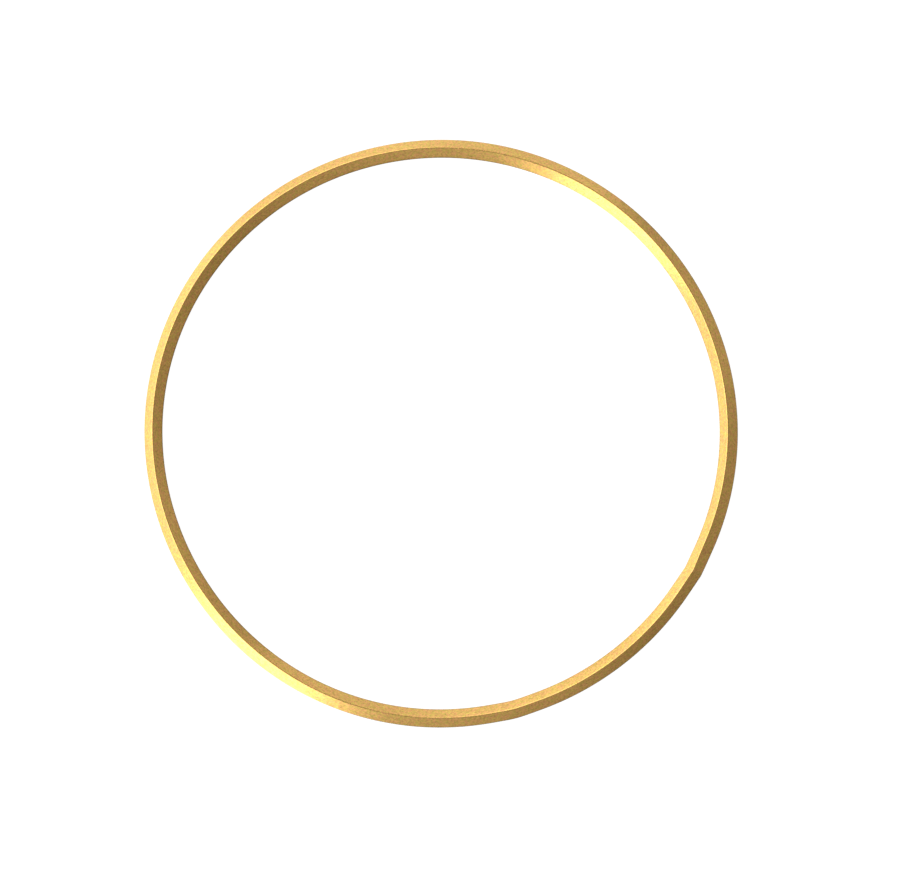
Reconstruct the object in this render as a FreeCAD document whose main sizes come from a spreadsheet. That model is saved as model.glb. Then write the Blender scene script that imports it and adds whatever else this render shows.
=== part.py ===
import FreeCAD, Part
import math
import os
import Sketcher
from FreeCAD import Placement, Rotation, Vector

# Wreath frame: one length of square brass bar, rolled on its diagonal into a hoop and closed by a weld.
# The hoop lies flat. +Z is its axis, z = 0 is the ridge that it rests on, and the joint is at -Y.
# Millimetres and degrees.

doc = FreeCAD.newDocument("wreath_frame")

# ---------------------------------------------------------------- driving dimensions
DRIVING_DIMENSIONS = [
    ("inside_diameter", 200.0, "clear opening of the hoop"),
    ("bar_side", 4.7625, "side of the square bar, 3/16 in"),
    ("corner_radius", 0.25, "rounding along the four long corners of the bar"),
    ("out_of_round", 2.2, "longest diameter less shortest diameter"),
    ("end_angle", 4.9, "degrees that each straight end spans, seen from the middle"),
    ("root_gap", 0.15, "gap left between the two ends at their inner corners"),
]

sizes = doc.addObject("Spreadsheet::Sheet", "Sizes")
for row, (alias, number, meaning) in enumerate(DRIVING_DIMENSIONS, start=1):
    sizes.set(f"A{row}", meaning)
    sizes.set(f"B{row}", str(number))
    sizes.setAlias(f"B{row}", alias)
doc.recompute()

# ---------------------------------------------------------------- sizes that follow from them
# The bar stands on its corner, so its width is its diagonal less what the rounded corners take off.
BAND_WIDTH = "(Sizes.bar_side * sqrt(2) - 2 * Sizes.corner_radius * (sqrt(2) - 1))"
# Each rounded corner turns about a point this far from the middle of the bar.
CORNER_REACH = "((Sizes.bar_side / 2 - Sizes.corner_radius) * sqrt(2))"
# The hoop is an oval of four arcs. Their centres stand this far from the middle of the hoop.
CENTRE_SHIFT = "(Sizes.out_of_round / (4 - 2 * sqrt(2)))"
MEAN_RADIUS = f"(Sizes.inside_diameter / 2 + {BAND_WIDTH} / 2)"
# The arcs at the top and at the joint are the tighter pair, and the arcs at the sides are the wider pair.
END_RADIUS = f"({MEAN_RADIUS} - {CENTRE_SHIFT} / sqrt(2))"
SIDE_RADIUS = f"({MEAN_RADIUS} + {CENTRE_SHIFT} / sqrt(2))"
# The two end faces of the bar are planes that meet in an upright line inside the hoop. The middle of the
# bar is this far from that line, and the straight ends of the bar bring the line this far from the middle.
WEDGE_RADIUS = f"({BAND_WIDTH} / 2 + Sizes.root_gap / (2 * sin(Sizes.end_angle)))"
WEDGE_LINE = f"({CENTRE_SHIFT} + ({END_RADIUS} - {WEDGE_RADIUS}) / cos(Sizes.end_angle))"
STRAIGHT_LENGTH = f"(({END_RADIUS} - {WEDGE_RADIUS}) * tan(Sizes.end_angle))"
# The corner at the joint stands proud of the oval, so the hoop is moved to bring its box to the middle.
BOX_SHIFT = f"(({WEDGE_LINE} + {WEDGE_RADIUS} - {CENTRE_SHIFT} - {END_RADIUS}) / 2)"

START, END, CENTRE = 1, 2, 3
ORIGIN = (-1, 1)
ACROSS_AXIS = -1


def value(expression):
    """The number that an expression on the spreadsheet gives."""
    return float(sizes.evalExpression(expression))


def origin_plane(body, role):
    """One of the body's own origin planes."""
    return next(feature for feature in body.Origin.OriginFeatures if feature.Role == role)


def drive(sketch, name, expression, kind, *geometry):
    """Add a sized constraint and bind it to an expression on the spreadsheet, in millimetres."""
    index = sketch.addConstraint(Sketcher.Constraint(kind, *geometry, value(expression)))
    sketch.renameConstraint(index, name)
    sketch.setExpression(f"Constraints.{name}", f"({expression}) * 1 mm")


def arc(centre, radius, first_degrees, last_degrees):
    circle = Part.Circle(centre, Vector(0, 0, 1), radius)
    return Part.ArcOfCircle(circle, math.radians(first_degrees), math.radians(last_degrees))


def bar_section(body, name, distance):
    """Square with rounded corners, standing on one corner, its middle at a distance along the sketch."""
    sketch = body.newObject("Sketcher::SketchObject", name)
    sketch.AttachmentSupport = [(origin_plane(body, "YZ_Plane"), "")]
    sketch.MapMode = "FlatFace"
    middle = value(distance)
    reach = value(CORNER_REACH)
    radius = value("Sizes.corner_radius")
    corners = []
    for quarter in range(4):
        turn = 90 * quarter
        heading = Vector(math.cos(math.radians(turn)), math.sin(math.radians(turn)), 0)
        corner = arc(Vector(middle, 0, 0) + heading * reach, radius, turn - 45, turn + 45)
        corners.append(sketch.addGeometry(corner))
    for quarter in range(4):
        here = corners[quarter]
        after = corners[(quarter + 1) % 4]
        ends = [sketch.getPoint(here, END), sketch.getPoint(after, START)]
        flat = sketch.addGeometry(Part.LineSegment(*ends))
        sketch.addConstraint(Sketcher.Constraint("Tangent", here, END, flat, START))
        sketch.addConstraint(Sketcher.Constraint("Tangent", flat, END, after, START))

    outer, top, inner, bottom = corners
    for side, corner in zip(("outer", "top", "inner", "bottom"), corners):
        drive(sketch, f"{side}_radius", "Sizes.corner_radius", "Radius", corner)
    sketch.addConstraint(Sketcher.Constraint("PointOnObject", outer, CENTRE, ACROSS_AXIS))
    sketch.addConstraint(Sketcher.Constraint("PointOnObject", inner, CENTRE, ACROSS_AXIS))
    drive(sketch, "outer_reach", f"{distance} + {CORNER_REACH}", "DistanceX", *ORIGIN, outer, CENTRE)
    drive(sketch, "inner_reach", f"{distance} - {CORNER_REACH}", "DistanceX", *ORIGIN, inner, CENTRE)
    drive(sketch, "top_distance", distance, "DistanceX", *ORIGIN, top, CENTRE)
    drive(sketch, "bottom_distance", distance, "DistanceX", *ORIGIN, bottom, CENTRE)
    drive(sketch, "top_reach", CORNER_REACH, "DistanceY", *ORIGIN, top, CENTRE)
    drive(sketch, "bottom_reach", CORNER_REACH, "DistanceY", bottom, CENTRE, *ORIGIN)
    return sketch


def turned_section(body, name, centre, radius, heading):
    """The bar's section at one end of an arc. The sketch's upright axis stands on the arc's centre, which
    is (across, up) in plan, and the heading turns it clockwise from straight up, in degrees."""
    section = bar_section(body, name, radius)
    across, up = centre
    section.AttachmentOffset = Placement(Vector(0, 0, 0), Rotation(Vector(0, 1, 0), -value(heading)))
    section.setExpression("AttachmentOffset.Base.z", f"({across}) * 1 mm")
    section.setExpression("AttachmentOffset.Base.x", f"({up}) * 1 mm")
    return section


def bend(body, name, centre, radius, heading, sweep):
    """One arc of the hoop: the section turned clockwise about the arc's centre."""
    section = turned_section(body, f"{name}Section", centre, radius, heading)
    doc.recompute()
    feature = body.newObject("PartDesign::Revolution", name)
    feature.Profile = section
    feature.ReferenceAxis = (section, ["V_Axis"])
    feature.Reversed = True
    feature.setExpression("Angle", f"({sweep}) * 1 deg")
    doc.recompute()
    return feature


def straight_end(body, name, centre, radius, heading, length):
    """The end of the bar that the rolls leave straight, in line with the arc that it follows."""
    section = turned_section(body, f"{name}Section", centre, radius, heading)
    doc.recompute()
    feature = body.newObject("PartDesign::Pad", name)
    feature.Profile = section
    feature.setExpression("Length", f"({length}) * 1 mm")
    doc.recompute()
    return feature


# ---------------------------------------------------------------- the bar
def make_hoop_bar():
    """The rolled bar: three arcs and a straight end make half of it, and the other half mirrors them."""
    body = doc.addObject("PartDesign::Body", "HoopBar")
    body.Label = "hoop_bar"
    top_centre = ("0", CENTRE_SHIFT)
    side_centre = (f"-{CENTRE_SHIFT}", "0")
    low_centre = ("0", f"-{CENTRE_SHIFT}")
    end_heading = "180 - Sizes.end_angle"
    half = [
        bend(body, "TopBend", top_centre, END_RADIUS, "0", "45"),
        bend(body, "SideBend", side_centre, SIDE_RADIUS, "45", "90"),
        bend(body, "LowBend", low_centre, END_RADIUS, "135", "45 - Sizes.end_angle"),
        straight_end(body, "StraightEnd", low_centre, END_RADIUS, end_heading, STRAIGHT_LENGTH),
    ]
    whole = body.newObject("PartDesign::Mirrored", "OtherHalf")
    whole.Originals = half
    whole.MirrorPlane = (origin_plane(body, "YZ_Plane"), [""])
    body.Tip = whole

    body.setExpression("Placement.Base.y", f"{BOX_SHIFT} * 1 mm")
    body.setExpression("Placement.Base.z", f"{BAND_WIDTH} / 2 * 1 mm")
    return body


# ---------------------------------------------------------------- the weld
def make_weld_fill():
    """The filler between the end faces: the bar's own section, turned about the line where they meet."""
    body = doc.addObject("PartDesign::Body", "WeldFill")
    body.Label = "weld_fill"
    section = bar_section(body, "WeldSection", WEDGE_RADIUS)
    doc.recompute()

    wedge = body.newObject("PartDesign::Revolution", "Wedge")
    wedge.Profile = section
    wedge.ReferenceAxis = (section, ["V_Axis"])
    wedge.Midplane = True
    wedge.setExpression("Angle", "2 * Sizes.end_angle * 1 deg")
    body.Tip = wedge

    body.Placement = Placement(Vector(0, 0, 0), Rotation(Vector(0, 0, 1), 180))
    body.setExpression("Placement.Base.y", f"({BOX_SHIFT} - {WEDGE_LINE}) * 1 mm")
    body.setExpression("Placement.Base.z", f"{BAND_WIDTH} / 2 * 1 mm")
    return body


# ---------------------------------------------------------------- build, check and write
pieces = [make_hoop_bar(), make_weld_fill()]
doc.recompute()

for thing in doc.Objects:
    if "Invalid" in thing.State or "Error" in thing.State:
        raise RuntimeError(f"{thing.Name} did not recompute: {thing.State}")

os.makedirs("parts", exist_ok=True)
for piece in pieces:
    shape = piece.Shape
    if shape.isNull() or not shape.isValid() or len(shape.Solids) != 1:
        raise RuntimeError(f"{piece.Label} is not one valid solid")
    box = shape.optimalBoundingBox(False, False)
    print(f"{piece.Label}: {shape.Volume:.1f} mm3,"
          f" x {box.XMin:.3f} to {box.XMax:.3f},"
          f" y {box.YMin:.3f} to {box.YMax:.3f},"
          f" z {box.ZMin:.3f} to {box.ZMax:.3f}")
    shape.exportStep(f"parts/{piece.Label}.step")
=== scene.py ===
# %% [markdown]
# # A brass wreath frame on a pale table
#
# The object is a plain hoop that a florist binds greenery to. It is one length of square brass bar, rolled
# while it stands on its corner, so that two flat facets meet in a ridge all the way round. Its two ends
# are closed by a weld that is ground flush. That is all there is, so the whole look rests on three things:
# how true the bar's line is, how crisp its ridge is, and what its satin facets reflect.
#
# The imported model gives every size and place. This file makes finer surfaces around it, in metres.

# %% Load the frame
import math

import bpy
import numpy as np
from mathutils import Matrix, Vector


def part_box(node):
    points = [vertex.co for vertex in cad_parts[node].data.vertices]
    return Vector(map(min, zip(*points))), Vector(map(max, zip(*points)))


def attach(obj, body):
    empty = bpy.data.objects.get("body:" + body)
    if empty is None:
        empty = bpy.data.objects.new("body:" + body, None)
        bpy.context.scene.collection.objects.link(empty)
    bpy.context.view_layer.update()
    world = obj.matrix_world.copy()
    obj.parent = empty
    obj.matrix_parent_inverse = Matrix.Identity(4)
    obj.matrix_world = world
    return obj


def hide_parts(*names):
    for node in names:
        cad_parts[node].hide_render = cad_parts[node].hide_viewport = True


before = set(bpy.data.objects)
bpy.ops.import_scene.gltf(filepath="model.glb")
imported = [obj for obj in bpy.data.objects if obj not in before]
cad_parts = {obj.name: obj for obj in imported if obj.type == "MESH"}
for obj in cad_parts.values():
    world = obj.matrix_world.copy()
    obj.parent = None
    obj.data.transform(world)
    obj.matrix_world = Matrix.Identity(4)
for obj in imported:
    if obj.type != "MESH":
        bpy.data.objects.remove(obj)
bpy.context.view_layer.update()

bar_low, bar_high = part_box("hoop_bar")
weld_low, weld_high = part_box("weld_fill")
MM = 0.001
print("bar box in mm:", [round(side / MM, 2) for side in bar_high - bar_low])

# %% [markdown]
# ## The bar's middle line
#
# A rolled bar is easiest to describe by how much it bends at each place along it. Between two places where
# the rolls were moved the bend is constant, so the middle line is a row of stretches: a tight arc at the
# top, wider arcs at the sides, tight arcs again, and the two ends that the rolls could not reach, which are
# straight. It could be drawn as a curve and bevelled, but a formula keeps every station where the frame
# says and gives the distance along the bar, which the satin finish needs later.
#
# The frame's boxes give the oval: how far the middle line is from the middle of the hoop at the top, at the
# sides and at the joint. Three distances settle the two radii and the places of the arcs' centres.

# %% Sizes from the frame
BAND = bar_high.z - bar_low.z
MIDDLE_HEIGHT = bar_low.z + BAND / 2
END_ANGLE = math.radians(4.9)
half_weld = (weld_high.x - weld_low.x) / 2
WELD_TURN_RADIUS = half_weld / math.sin(END_ANGLE) - BAND / 2

top_reach = bar_high.y - BAND / 2
side_reach = bar_high.x - BAND / 2
joint_reach = -weld_low.y - BAND / 2
ends_stretch = 1 / math.cos(END_ANGLE)
oval_share = 2 - (math.sqrt(2) - 1) * (1 + ends_stretch)
straight_part = WELD_TURN_RADIUS * (1 - ends_stretch) + side_reach * (1 + ends_stretch)
CENTRE_SHIFT = (top_reach + joint_reach - straight_part) / oval_share
END_RADIUS = side_reach - (math.sqrt(2) - 1) * CENTRE_SHIFT
SIDE_RADIUS = END_RADIUS + math.sqrt(2) * CENTRE_SHIFT
print("arc radii in mm:", round(END_RADIUS / MM, 2), round(SIDE_RADIUS / MM, 2))

# %% Stretches of constant bend, from the top round to one end
STRETCH_TURNS = np.array([math.pi / 4, math.pi / 2, math.pi / 4 - END_ANGLE, 0.0])
STRETCH_LENGTHS = np.array([
    END_RADIUS * math.pi / 4,
    SIDE_RADIUS * math.pi / 2,
    END_RADIUS * (math.pi / 4 - END_ANGLE),
    (END_RADIUS - WELD_TURN_RADIUS) * math.tan(END_ANGLE),
])
STRETCH_STARTS = np.concatenate([[0.0], np.cumsum(STRETCH_LENGTHS)[:-1]])
STRETCH_HEADINGS = np.concatenate([[0.0], np.cumsum(STRETCH_TURNS)[:-1]])
HALF_LENGTH = STRETCH_LENGTHS.sum()


def chord(distance, start_heading, turn):
    """Step made by going a distance along an arc that turns evenly: the arc's length times
    sin(turn / 2) / (turn / 2), along the heading that lies half-way. A straight run has no turn."""
    heading = start_heading + turn / 2
    length = distance * np.sinc(turn / (2 * np.pi))
    return length[..., None] * np.stack([np.cos(heading), -np.sin(heading)], axis=-1)


stretch_steps = chord(STRETCH_LENGTHS, STRETCH_HEADINGS, STRETCH_TURNS)
top_point = np.array([[0.0, top_reach]])
STRETCH_POINTS = np.concatenate([top_point, top_point + np.cumsum(stretch_steps, axis=0)[:-1]])
print("length of the bar in mm:", round(2 * HALF_LENGTH / MM, 1))


def middle_line(distance):
    """Places on the bar's middle line and the outward directions there, for signed distances from the top.
    Plus runs towards +X, and the other half is its mirror image."""
    along = np.abs(distance)
    side = np.where(distance < 0, -1.0, 1.0)
    mirror = np.stack([side, np.ones_like(side)], axis=-1)
    stretch = np.searchsorted(STRETCH_STARTS, along, side="right") - 1
    past = along - STRETCH_STARTS[stretch]
    turn = past * STRETCH_TURNS[stretch] / STRETCH_LENGTHS[stretch]
    heading = STRETCH_HEADINGS[stretch] + turn
    place = STRETCH_POINTS[stretch] + chord(past, STRETCH_HEADINGS[stretch], turn)
    outward = np.stack([np.sin(heading), np.cos(heading)], axis=-1)
    return place * mirror, outward * mirror


# %% [markdown]
# ## The bar's section
#
# The bar is square and stands on its corner. Drawn bar never has knife edges, so each corner is a small
# arc, and the arc is what makes the ridge read as metal: it gathers a fine line of light from the studio
# overhead. The Bevel modifier could round the corners, but arcs in the formula let the rounding change
# along the bar, and let the flats keep exact normals: a point close beside each arc stops the smooth
# shading from leaking on to the flat.

# %% A square on its corner, with rounded corners
ARC_POINTS = 6
FLAT_PLACES = np.array([0.03, 0.2, 0.4, 0.6, 0.8, 0.97])
FLAT_CROWN = 0.04 * MM
CORNER_TURNS = np.arange(4) * math.pi / 2
ARC_TURNS = CORNER_TURNS[:, None] + np.linspace(-math.pi / 4, math.pi / 4, ARC_POINTS)
FLAT_TURNS = np.repeat(CORNER_TURNS[:, None] + math.pi / 4, len(FLAT_PLACES), axis=1)
AROUND_EDGE = np.concatenate([np.ones_like(ARC_TURNS), np.zeros_like(FLAT_TURNS)], axis=1).ravel()


def section(rounding, filed_off):
    """Outlines of the bar, one for each row of rounding, which holds the radii of the outer, top, inner and
    bottom corners, as filed_off holds what each has lost. Each corner is an arc about a point on its own
    axis, as far in as the rounding and the loss. Each flat joins the end of one arc to the start of the
    next, and stands proud of that line by the crown times 4 * t * (1 - t), with t running from 0 to 1 along
    it. Columns are outward and up."""
    axes = np.stack([np.cos(CORNER_TURNS), np.sin(CORNER_TURNS)], axis=-1)
    centres = (BAND / 2 - filed_off - rounding)[..., None] * axes
    spokes = np.stack([np.cos(ARC_TURNS), np.sin(ARC_TURNS)], axis=-1)
    arcs = centres[:, :, None, :] + rounding[:, :, None, None] * spokes
    ends = arcs[:, :, -1:, :]
    starts = np.roll(arcs[:, :, :1, :], -1, axis=1)
    flat_normals = np.stack([np.cos(FLAT_TURNS), np.sin(FLAT_TURNS)], axis=-1)
    crown = FLAT_CROWN * 4 * FLAT_PLACES * (1 - FLAT_PLACES)
    flats = ends + FLAT_PLACES[:, None] * (starts - ends) + crown[:, None] * flat_normals
    return np.concatenate([arcs, flats], axis=2).reshape(len(rounding), -1, 2)


print("points round the section:", len(AROUND_EDGE))

# %% [markdown]
# ## What the workshop did to it
#
# A perfect sweep looks like a drawing. The real bar wanders a little off its oval, because a hand feeds the
# rolls. Its two ends were turned opposite ways about their own length when they were brought together, so
# the ridge leans inwards before the joint and outwards after it. Its corners are not rounded evenly, and
# at the joint they were ground by hand. Each of these is a smooth function of the distance along the bar.
# The turn dies away at the joint itself, where bar and weld were ground flush.

# %% Helpers for unevenness
JOINT_FADE = 10 * MM


def bell(offset, reach):
    """1 at no offset, fading over the reach: exp of minus (offset / reach) squared."""
    return np.exp(-(offset / reach) ** 2)


def ripple(distance, wavelengths, seed):
    """Mean of sines of the given wavelengths, each with a random phase."""
    phases = np.random.default_rng(seed).uniform(0, 2 * np.pi, len(wavelengths))
    waves = np.sin(2 * np.pi * distance[:, None] / np.array(wavelengths) + phases)
    return waves.mean(axis=1)


def away_from_joint(distance):
    """0 at both ends of the bar, rising smoothly to 1 within the fade length."""
    fade = np.clip((HALF_LENGTH - np.abs(distance)) / JOINT_FADE, 0, 1)
    return fade * fade * (3 - 2 * fade)


print("fade length at the joint in mm:", round(JOINT_FADE / MM, 1))

# %% Wander of the middle line and twist of the section
WANDER_INWARD = 0.131 * MM
WANDER_WAVES = [
    # waves round the hoop, height, phase in degrees
    (2, 0.20 * MM, -260),
    (3, 0.12 * MM, -9),
    (4, 0.10 * MM, 63),
]
SECOND_BUMP_HEIGHT = 0.25 * MM
SECOND_BUMP_REACH = 5 * MM
# as a share of the way from the joint to the top
SECOND_BUMP_FROM_JOINT = 46 / 180
SECOND_BUMP_PLACE = -HALF_LENGTH * (1 - SECOND_BUMP_FROM_JOINT)
TURNS_TOWARDS_PLUS = [
    # distance from the joint, reach, turn in degrees
    (0, 81 * MM, 5.0),
    (141 * MM, 22 * MM, -2.3),
]
TURNS_TOWARDS_MINUS = [
    (45 * MM, 54 * MM, -3.4),
    (177 * MM, 36 * MM, 2.8),
]
SLIGHT_TURN = math.radians(0.6)
SLIGHT_TURN_WAVELENGTHS = [190 * MM, 83 * MM, 47 * MM]
SLIGHT_TURN_SEED = 5


def wander(distance):
    """How far the middle line is off the oval, outward: a few slow waves round the hoop, and one soft bump
    where the rolls were stopped. The whole is drawn in a little, so that no wave leaves the frame's box."""
    turn = math.pi * distance / HALF_LENGTH
    waves = sum(size * np.cos(count * turn + math.radians(phase)) for count, size, phase in WANDER_WAVES)
    bump = SECOND_BUMP_HEIGHT * bell(distance - SECOND_BUMP_PLACE, SECOND_BUMP_REACH)
    return waves + bump - WANDER_INWARD


def twist(distance):
    """Turn of the section about the bar's own length, in radians: soft bells on the side towards +X and
    others on the side towards -X, with a slight ripple all the way, and nothing at the joint."""
    from_end = HALF_LENGTH - np.abs(distance)
    plus, minus = [
        sum(math.radians(turn) * bell(from_end - middle, reach) for middle, reach, turn in turns)
        for turns in (TURNS_TOWARDS_PLUS, TURNS_TOWARDS_MINUS)
    ]
    slight = SLIGHT_TURN * ripple(distance, SLIGHT_TURN_WAVELENGTHS, SLIGHT_TURN_SEED)
    return (np.where(distance > 0, plus, minus) + slight) * away_from_joint(distance)


samples = np.linspace(-HALF_LENGTH, HALF_LENGTH, 721)
wander_range = [round(extreme / MM, 2) for extreme in (wander(samples).min(), wander(samples).max())]
twist_range = [round(math.degrees(extreme), 1) for extreme in (twist(samples).min(), twist(samples).max())]
print("wander in mm:", wander_range, "twist in degrees:", twist_range)

# %% Rounding of the four corners, with knocks on the ridges and grinding at the joint
PLAIN_ROUNDING = 0.46 * MM
ROUNDING_CHANGE = 0.05 * MM
ROUNDING_WAVELENGTHS = [61 * MM, 23 * MM, 9 * MM]
ROUNDING_SEEDS = (11, 12, 13, 14)
GROUND_ROUNDING = np.array([0.60, 0.34, 0.40, 0.50]) * MM
GROUND_REACH = 5 * MM
KNOCKS_PER_CORNER = 9
KNOCK_ROUNDING = 0.16 * MM
KNOCK_REACH = 0.9 * MM
KNOCK_SEED = 7


def corner_rounding(distance, from_joint):
    """Radii of the outer, top, inner and bottom corners: a plain radius, a slow ripple, a few knocks as
    bells at random places, all giving way to the ground radii near the joint."""
    places = np.random.default_rng(KNOCK_SEED).uniform(-HALF_LENGTH, HALF_LENGTH, (4, KNOCKS_PER_CORNER))
    knocks = bell(distance[:, None, None] - places, KNOCK_REACH).sum(axis=2)
    ripples = [ripple(distance, ROUNDING_WAVELENGTHS, seed) for seed in ROUNDING_SEEDS]
    worn = PLAIN_ROUNDING + ROUNDING_CHANGE * np.stack(ripples, axis=1) + KNOCK_ROUNDING * knocks
    ground = bell(from_joint, GROUND_REACH)[:, None]
    return worn + ground * (GROUND_ROUNDING - worn)


FILED_CORNERS = np.array([0.03, 0.02, 0.0, 0.06]) * MM
FILED_REACH = 2.6 * MM


def filing(from_joint):
    """How far the outer, top, inner and bottom corners are filed back near the joint. The inner one keeps
    its height, because a file can't reach it."""
    return FILED_CORNERS * bell(from_joint, FILED_REACH)[:, None]


print("knocks on the four corners:", 4 * KNOCKS_PER_CORNER)

# %% [markdown]
# ## One skin for both pieces
#
# Bar and weld are the same section carried along two different paths, so they share one function. It takes
# a place and an outward direction for each station, lays the section there, and closes both ends with a
# flat cap, because a piece with open ends has no inside.
#
# Three things are stored on the points for the finish to read. Bar space is the place in the bar as it was
# before it was rolled: distance along it, outward and up. A pattern in that space follows the bar round
# the bend and has no seam round the section. Ground says how near a point is to the joint, and edge says
# whether it is on a rounded corner.

# %% Sweep a section
def sweep(place, outward, outline, turn):
    """Points of a swept section: place + outward * across, at the middle height + up, after the section is
    turned about the middle line."""
    across = outline[..., 0] * np.cos(turn)[:, None] - outline[..., 1] * np.sin(turn)[:, None]
    up = outline[..., 0] * np.sin(turn)[:, None] + outline[..., 1] * np.cos(turn)[:, None]
    level = place[:, None, :] + outward[:, None, :] * across[..., None]
    return np.concatenate([level, (MIDDLE_HEIGHT + up)[..., None]], axis=-1)


# %% Make a closed mesh
SMOOTH_BELOW = math.radians(35)


def closed_skin(name, points, bar_space, ground):
    """Mesh object from a grid of stations by points round the section: four-sided faces between
    neighbours, closed round the section, and one flat cap at each end. The stations run clockwise seen from
    above, and each face goes round the section first, which makes it point outwards."""
    stations, around = points.shape[:2]
    index = np.arange(stations * around).reshape(stations, around)
    here, ahead = index[:-1], index[1:]
    sides = np.stack([here, np.roll(here, -1, axis=1), np.roll(ahead, -1, axis=1), ahead], axis=-1)
    faces = sides.reshape(-1, 4).tolist() + [index[0][::-1].tolist(), index[-1].tolist()]
    mesh = bpy.data.meshes.new(name)
    mesh.from_pydata(points.reshape(-1, 3), [], faces)
    mesh.attributes.new("bar_space", "FLOAT_VECTOR", "POINT").data.foreach_set("vector", bar_space.ravel())
    mesh.attributes.new("ground", "FLOAT", "POINT").data.foreach_set("value", ground.ravel())
    mesh.attributes.new("edge", "FLOAT", "POINT").data.foreach_set("value", np.tile(AROUND_EDGE, stations))
    mesh.shade_smooth()
    mesh.set_sharp_from_angle(angle=SMOOTH_BELOW)
    piece = bpy.data.objects.new(name, mesh)
    bpy.context.scene.collection.objects.link(piece)
    return piece


print("edges up to this angle are smooth, in degrees:", round(math.degrees(SMOOTH_BELOW)))

# %% Measure what a mesh encloses
def enclosed_volume(piece):
    """Volume inside a closed mesh in cubic millimetres: a sixth of the sum, over its triangles, of the
    first corner times the cross product of the other two. It is positive when the faces point outwards."""
    mesh = piece.data
    mesh.calc_loop_triangles()
    corners = np.empty(3 * len(mesh.loop_triangles), dtype=np.int32)
    mesh.loop_triangles.foreach_get("vertices", corners)
    places = np.empty(3 * len(mesh.vertices), dtype=np.float32)
    mesh.vertices.foreach_get("co", places)
    triangles = places.reshape(-1, 3)[corners].reshape(-1, 3, 3) / MM
    return np.einsum("ij,ij", triangles[:, 0], np.cross(triangles[:, 1], triangles[:, 2])) / 6


# %% [markdown]
# ## The rolled bar
#
# On the real object this is a bar of about 650 mm, cut square at both ends. It gets a station about every
# third of a millimetre, so that the hoop's outline has no corners at any size it is likely to be seen, and
# so that a knock on the ridge has a shape of its own.

# %% Make the rolled bar
BAR_STATIONS = 1881
distance = np.linspace(-HALF_LENGTH, HALF_LENGTH, BAR_STATIONS)
half_weld_length = WELD_TURN_RADIUS * END_ANGLE
from_joint = HALF_LENGTH - np.abs(distance) + half_weld_length
place, outward = middle_line(distance)
place = place + outward * wander(distance)[:, None]
outline = section(corner_rounding(distance, from_joint), filing(from_joint))
bar_points = sweep(place, outward, outline, twist(distance))
along = np.broadcast_to(distance[:, None, None], outline.shape[:2] + (1,))
bar_ground = np.broadcast_to(bell(from_joint, GROUND_REACH)[:, None], outline.shape[:2])
rolled_bar = closed_skin(
    "rolled_bar",
    bar_points,
    np.concatenate([along, outline], axis=-1),
    bar_ground,
)
bar_volume = round(enclosed_volume(rolled_bar))
print("rolled bar:", len(rolled_bar.data.polygons), "faces,", bar_volume, "mm3")

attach(rolled_bar, "root")
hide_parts("hoop_bar")

# %% [markdown]
# ## The ground weld
#
# The ends of the bar are cut square, but they meet at an angle, so the gap between them is a wedge that is
# open outwards. The filler is that wedge: the bar's section, turned about the upright line where the two
# end faces would meet. A file and a disc then took it down flush, which left the outer corner rounder and
# a few hundredths of a millimetre short.

# %% Make the ground weld
WELD_STATIONS = 25
weld_turn = np.linspace(END_ANGLE, -END_ANGLE, WELD_STATIONS)
weld_outward = np.stack([np.sin(weld_turn), -np.cos(weld_turn)], axis=-1)
wedge_line = np.array([0.0, WELD_TURN_RADIUS - joint_reach])
weld_shift = wander(np.array([HALF_LENGTH]))[0]
weld_place = wedge_line + (WELD_TURN_RADIUS + weld_shift) * weld_outward
weld_offset = weld_turn * WELD_TURN_RADIUS
weld_from_joint = np.abs(weld_offset)
weld_rounding = corner_rounding(np.full(WELD_STATIONS, HALF_LENGTH), weld_from_joint)
weld_outline = section(weld_rounding, filing(weld_from_joint))
weld_points = sweep(weld_place, weld_outward, weld_outline, np.zeros(WELD_STATIONS))
weld_along = np.broadcast_to((HALF_LENGTH + weld_offset)[:, None, None], weld_outline.shape[:2] + (1,))
ground_weld = closed_skin(
    "ground_weld",
    weld_points,
    np.concatenate([weld_along, weld_outline], axis=-1),
    np.ones(weld_outline.shape[:2]),
)
weld_volume = round(enclosed_volume(ground_weld), 1)
print("ground weld:", len(ground_weld.data.polygons), "faces,", weld_volume, "mm3")

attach(ground_weld, "root")
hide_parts("weld_fill")

# %% [markdown]
# ## Shader maths that reads like arithmetic
#
# A finish is a formula: a colour that changes a little with the grain, a roughness that drops on the worn
# edges. Written as nodes that formula takes pages, so one small class wraps a socket and lets plain plus,
# minus and times add the Math nodes. Everything else goes through one method.

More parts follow.
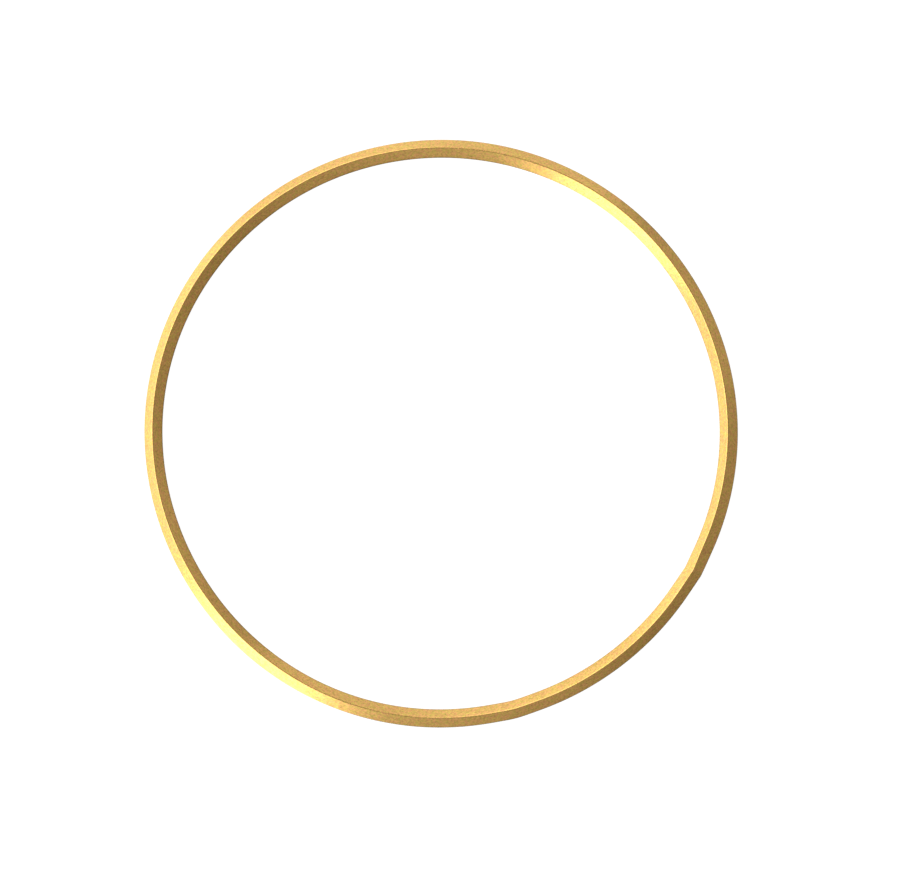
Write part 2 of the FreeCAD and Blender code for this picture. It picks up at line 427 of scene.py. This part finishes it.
# %% A value in a node tree
class Shade:
    """A value on its way through a node tree. Arithmetic on it adds Math nodes, and node() adds any other
    node."""

    def __init__(self, tree, socket=None):
        self.tree = tree
        self.socket = socket

    def feed(self, entrance, entry):
        """Link a Shade to a socket, or set the socket to a plain number, vector or colour."""
        if isinstance(entry, Shade):
            self.tree.links.new(entry.socket, entrance)
        else:
            entrance.default_value = entry

    def node(self, kind, settings=None, sockets=None, output=0):
        """Add a node of a type. Its settings are made first, because they can change its sockets."""
        made = self.tree.nodes.new(kind)
        for name, setting in (settings or {}).items():
            setattr(made, name, setting)
        for name, entry in (sockets or {}).items():
            self.feed(made.inputs[name], entry)
        return Shade(self.tree, made.outputs[output])

    def maths(self, operation, first, second):
        """Add a Math node that works on two values."""
        return self.node("ShaderNodeMath", {"operation": operation}, {0: first, 1: second})

    def __add__(self, other):
        return self.maths("ADD", self, other)

    def __radd__(self, other):
        return self.maths("ADD", other, self)

    def __sub__(self, other):
        return self.maths("SUBTRACT", self, other)

    def __rsub__(self, other):
        return self.maths("SUBTRACT", other, self)

    def __mul__(self, other):
        return self.maths("MULTIPLY", self, other)

    def __rmul__(self, other):
        return self.maths("MULTIPLY", other, self)


# %% Smooth steps and blended colours
def smooth_step(value, start, end):
    """0 before start, 1 after end, and a smooth rise between them. It falls where end is the lower one."""
    settings = {"interpolation_type": "SMOOTHSTEP"}
    sockets = {"Value": value, "From Min": start, "From Max": end}
    return value.node("ShaderNodeMapRange", settings, sockets)


def blend_colours(factor, first, second):
    """Mix two colours. A Mix node set to colour has its factor, colours and result at these numbers."""
    sockets = {0: factor, 6: first, 7: second}
    return factor.node("ShaderNodeMix", {"data_type": "RGBA"}, sockets, output=2)


# %% [markdown]
# ## Satin brass
#
# The bar was drawn through a die and then rubbed down along its length, so its finish has three scales:
# a slow drift of tone over a few centimetres, a soft mottle about a millimetre across, where the rubbing
# was uneven, and fine lines along the bar. Noise in bar space gives all three, stretched along the bar by
# different amounts. An image texture would need a seam somewhere, and this has none.
#
# Brass is a metal, so its colour is the colour of its reflections. It leans between a warm and an olive
# tone, the roughness follows the mottle, and a shallow bump breaks up the reflections. Old polish has left
# small dark specks. A fine dark line along the inner corner is painted shade, darkened into the colour
# there.

# %% Noise that follows the bar
PER_MM = 1 / MM
# features in a millimetre along the bar, and across it
DRIFT_SCALE = (0.035, 0.10)
MOTTLE_SCALE = (1.4, 1.6)
TINGE_SCALE = (0.9, 1.3)
LINES_SCALE = (0.09, 2.4)
FILED_SCALE = (1.8, 0.35)
SPECKS_SCALE = (1.6, 1.9)
NOISE_ROUGHNESS = 0.55


def bar_noise(bar_space, along_scale, across_scale, detail=2.0):
    """Noise in bar space, in features per millimetre along and across the bar."""
    scale = (along_scale * PER_MM, across_scale * PER_MM, across_scale * PER_MM)
    stretched = bar_space.node("ShaderNodeMapping", {}, {"Vector": bar_space, "Scale": scale})
    sockets = {"Vector": stretched, "Scale": 1.0, "Detail": detail, "Roughness": NOISE_ROUGHNESS}
    return bar_space.node("ShaderNodeTexNoise", {}, sockets)


print("mottle features per mm, along and across:", MOTTLE_SCALE)

# %% The satin finish
# noise values between which each pattern comes in
LEAN_ENDS = (0.35, 0.65)
SPECK_ENDS = (0.72, 0.80)
INNER_CORNER = -BAND / 2
# width of the painted shade along the inner corner
PAINTED_SHADE_WIDTH = 0.5 * MM
RELIEF_DEPTH = 0.010 * MM


def satin_brass(name, warm, olive, roughness, grind_marks):
    """Satin metal whose tone, roughness and relief follow noise in bar space. Its colour also carries
    painted shade along the inner corner.
    """
    material = bpy.data.materials.new(name)
    material.use_nodes = True
    paint = Shade(material.node_tree)
    shader = material.node_tree.nodes["Principled BSDF"]
    bar_space = paint.node("ShaderNodeAttribute", {"attribute_name": "bar_space"}, output=1)
    edge = paint.node("ShaderNodeAttribute", {"attribute_name": "edge"}, output=2)
    ground = paint.node("ShaderNodeAttribute", {"attribute_name": "ground"}, output=2)

    drift = bar_noise(bar_space, *DRIFT_SCALE)
    mottle = bar_noise(bar_space, *MOTTLE_SCALE)
    tinge = bar_noise(bar_space, *TINGE_SCALE)
    lines = bar_noise(bar_space, *LINES_SCALE)
    filed = bar_noise(bar_space, *FILED_SCALE) * ground * grind_marks
    outward_place = bar_space.node("ShaderNodeSeparateXYZ", {}, {0: bar_space}, output=1)
    # painted shade: a fine dark line along the inner corner, darkened into the colour
    inner_edge_painted_shade = smooth_step(outward_place, INNER_CORNER + PAINTED_SHADE_WIDTH, INNER_CORNER + PAINTED_SHADE_WIDTH / 3)
    specks = smooth_step(bar_noise(bar_space, *SPECKS_SCALE, detail=0.0), *SPECK_ENDS)

    lean = smooth_step(tinge, *LEAN_ENDS)
    tone = blend_colours(lean, (*warm, 1.0), (*olive, 1.0))
    value = 0.45 + mottle + 0.08 * lines + 0.05 * drift + 0.03 * edge
    # the specks darken the tone, and the inner corner gets its painted shade
    value = value - 0.22 * specks - 0.16 * inner_edge_painted_shade
    colour = tone.node("ShaderNodeVectorMath", {"operation": "SCALE"}, {0: tone, "Scale": value})
    paint.feed(shader.inputs["Base Color"], colour)

    matt = roughness - 0.07 + 0.08 * mottle + 0.06 * lines - 0.05 * edge + 0.10 * specks + 0.05 * filed
    paint.feed(shader.inputs["Roughness"], matt)

    relief = 0.6 * mottle + 0.4 * lines + filed - 0.5 * specks
    bump = {"Strength": 1.0, "Distance": RELIEF_DEPTH, "Height": relief}
    paint.feed(shader.inputs["Normal"], paint.node("ShaderNodeBump", {}, bump))
    shader.inputs["Metallic"].default_value = 1.0
    return material


# %% Finish the bar
BRASS_WARM = (0.90, 0.497, 0.184)
BRASS_OLIVE = (0.79, 0.570, 0.147)
bar_finish = satin_brass("satin_brass", BRASS_WARM, BRASS_OLIVE, roughness=0.30, grind_marks=0.25)
rolled_bar.data.materials.append(bar_finish)
print("bar finish:", bar_finish.name)

# %% [markdown]
# ## The weld's finish
#
# Filler metal never quite matches the bar, and the disc leaves marks across the bar and not along it. The
# difference is small, because the joint is rubbed down with the rest, so it is the same finish with a
# slightly paler tone and more of the marks.

# %% Finish the weld
WELD_WARM = (0.90, 0.511, 0.198)
WELD_OLIVE = (0.79, 0.580, 0.161)
weld_finish = satin_brass("ground_filler", WELD_WARM, WELD_OLIVE, roughness=0.32, grind_marks=0.6)
ground_weld.data.materials.append(weld_finish)
print("weld finish:", weld_finish.name)

# %% [markdown]
# ## The table
#
# The hoop lies on a white table that is lit from below as well as from above, as for a catalogue, so it is
# nearly pure white and keeps only a breath of shadow. It is a plain sheet, and it isn't part of the object.
# The bar doesn't see it in reflections: what the facets should mirror there is part of the studio below.

# %% Lay the table
TABLE_HALF_SIDE = 12.0
TABLE_GLOW = 0.96
TABLE_PAINT = (0.22, 0.22, 0.22, 1.0)
WHITE = (1.0, 1.0, 1.0, 1.0)
corners = [(-1, -1, 0), (1, -1, 0), (1, 1, 0), (-1, 1, 0)]
table_mesh = bpy.data.meshes.new("table")
table_mesh.from_pydata([Vector(corner) * TABLE_HALF_SIDE for corner in corners], [], [(0, 1, 2, 3)])
table = bpy.data.objects.new("table", table_mesh)
bpy.context.scene.collection.objects.link(table)
table.visible_glossy = False

table_material = bpy.data.materials.new("lit_white_table")
table_material.use_nodes = True
table_shader = table_material.node_tree.nodes["Principled BSDF"]
table_shader.inputs["Base Color"].default_value = TABLE_PAINT
table_shader.inputs["Roughness"].default_value = 1.0
table_shader.inputs["Specular IOR Level"].default_value = 0.0
table_shader.inputs["Emission Color"].default_value = WHITE
table_shader.inputs["Emission Strength"].default_value = TABLE_GLOW
table.data.materials.append(table_material)
print("table side in m:", 2 * TABLE_HALF_SIDE)

# %% [markdown]
# ## The studio
#
# Seen from above, a facet at 45 degrees mirrors what stands at the horizon on its own side. So the tone of
# each facet is a map of the room: a bright low window on one side, a long white card beside it, a weaker
# card behind, and the dark of the room near the camera. Each panel is a soft-edged patch of the world's
# sky, set by its compass direction, its half width, the heights it spans and its strength. Area lamps
# would do too, but patches of sky give the same soft light with less noise.
#
# Heights are angles above the horizon. The main panels reach far below it, because in the real room the
# white table carries their light on down to the foot of the bar.

# %% Panels of light
ROOM_TONE = (0.310, 0.288, 0.272, 1.0)
HEIGHT_SOFTNESS = 8
STUDIO_PANELS = [
    # direction, half width, softness, lowest and highest, all in degrees, then strength
    (162.8, 14.9, 5, -60, 40, 1.47),
    (143, 9, 6, -60, 40, 0.24),
    (131, 52, 12, -60, 34, 0.87),
    (109, 21, 8, -60, 34, 0.24),
    (40, 42.9, 4, -60, 34, 0.53),
    (61, 26, 12, -60, 34, 0.26),
    (-28, 18, 8, -20, 30, 0.13),
    (-46, 40, 10, -20, 30, 0.07),
    (211, 30, 8, -20, 40, 0.13),
    (198, 16, 6, -20, 40, 0.11),
    (99, 60, 10, 18, 78, 1.20),
]

# %% The world and its directions
world = bpy.data.worlds.new("studio")
world.use_nodes = True
bpy.context.scene.world = world
sky = Shade(world.node_tree)
direction = sky.node("ShaderNodeTexCoord")
level = sky.node("ShaderNodeVectorMath", {"operation": "MULTIPLY"}, {0: direction, 1: (1.0, 1.0, 0.0)})
compass = sky.node("ShaderNodeVectorMath", {"operation": "NORMALIZE"}, {0: level})
height = sky.node("ShaderNodeSeparateXYZ", {}, {0: direction}, output=2)
print("world:", world.name)

# %% Light of the panels together
def sky_panel(facing, half_width, softness, lowest, highest, strength):
    """Light of one panel: its strength, where the compass direction is within the half width of the panel's
    own and the height is between lowest and highest, with soft edges. All angles are in degrees."""
    facing = math.radians(facing)
    towards = {0: compass, 1: (math.cos(facing), math.sin(facing), 0.0)}
    alike = sky.node("ShaderNodeVectorMath", {"operation": "DOT_PRODUCT"}, towards, output=1)
    outside = math.cos(math.radians(half_width + softness))
    inside = math.cos(math.radians(half_width - softness))
    feet = [math.sin(math.radians(lowest + change)) for change in (-HEIGHT_SOFTNESS, HEIGHT_SOFTNESS)]
    heads = [math.sin(math.radians(highest + change)) for change in (HEIGHT_SOFTNESS, -HEIGHT_SOFTNESS)]
    within_width = smooth_step(alike, outside, inside)
    within_height = smooth_step(height, *feet) * smooth_step(height, *heads)
    return strength * within_width * within_height


panel_light = sum(sky_panel(*settings) for settings in STUDIO_PANELS)
print("studio panels:", len(STUDIO_PANELS))

# %% [markdown]
# ## Light and backdrop together
#
# The dark of the room is slightly warm and the panels are neutral, so they are two backgrounds, added. The
# room is darker below, which draws the fine dark line along the edges that face it. A third background is
# only what shows past the edge of the table: a plain pale wall. The Light Path node tells a ray that comes
# straight from the camera from one that lights the object. The view transform is Standard, because the one
# that Blender starts with would turn the white table grey.

# %% Join the backgrounds
BACKDROP_TONE = 0.93
FLOOR_SHARE = 0.25
# sines of the heights between which the room comes up to its full tone
ROOM_RISES = (-0.50, -0.15)

lit_room = FLOOR_SHARE + (1 - FLOOR_SHARE) * smooth_step(height, *ROOM_RISES)
room = sky.node("ShaderNodeBackground", {}, {"Color": ROOM_TONE, "Strength": lit_room})
panels = sky.node("ShaderNodeBackground", {}, {"Color": WHITE, "Strength": panel_light})
studio = sky.node("ShaderNodeAddShader", {}, {0: room, 1: panels})
backdrop = sky.node("ShaderNodeBackground", {}, {"Color": WHITE, "Strength": BACKDROP_TONE})
seen_directly = sky.node("ShaderNodeLightPath")
whole_sky = sky.node("ShaderNodeMixShader", {}, {0: seen_directly, 1: studio, 2: backdrop})
sky.feed(world.node_tree.nodes["World Output"].inputs["Surface"], whole_sky)
bpy.context.scene.view_settings.view_transform = "Standard"
print("view transform:", bpy.context.scene.view_settings.view_transform)

# %% [markdown]
# ## The camera
#
# It looks down from a long way off with a long lens, a few degrees off the hoop's own axis and towards the
# joint. It is also turned about its own line of sight, so its three axes are worked out from the direction
# that it looks along and the direction that it should hold upwards.

# %% Place the camera
UP_HEADING = math.radians(29.1)
VIEW_LEAN = math.radians(6.8)
LEAN_HEADING = math.radians(-109.5)
VIEW_DISTANCE = 24 * side_reach
LENS = 274.52
AIM_RIGHT = 3.40 * MM
AIM_DOWN = 5.04 * MM

backward = Vector((
    math.sin(VIEW_LEAN) * math.cos(LEAN_HEADING),
    math.sin(VIEW_LEAN) * math.sin(LEAN_HEADING),
    math.cos(VIEW_LEAN),
))
wanted_up = Vector((math.cos(UP_HEADING), math.sin(UP_HEADING), 0.0))
right = wanted_up.cross(backward).normalized()
up = backward.cross(right)
aim = Vector((0.0, 0.0, MIDDLE_HEIGHT)) + right * AIM_RIGHT - up * AIM_DOWN
camera_data = bpy.data.cameras.new("camera")
camera_data.lens = LENS
camera = bpy.data.objects.new("camera", camera_data)
axes = Matrix((right, up, backward)).transposed()
camera.matrix_world = Matrix.Translation(aim + backward * VIEW_DISTANCE) @ axes.to_4x4()
bpy.context.scene.collection.objects.link(camera)
bpy.context.scene.camera = camera
print("camera height in m:", round(camera.location.z, 3))
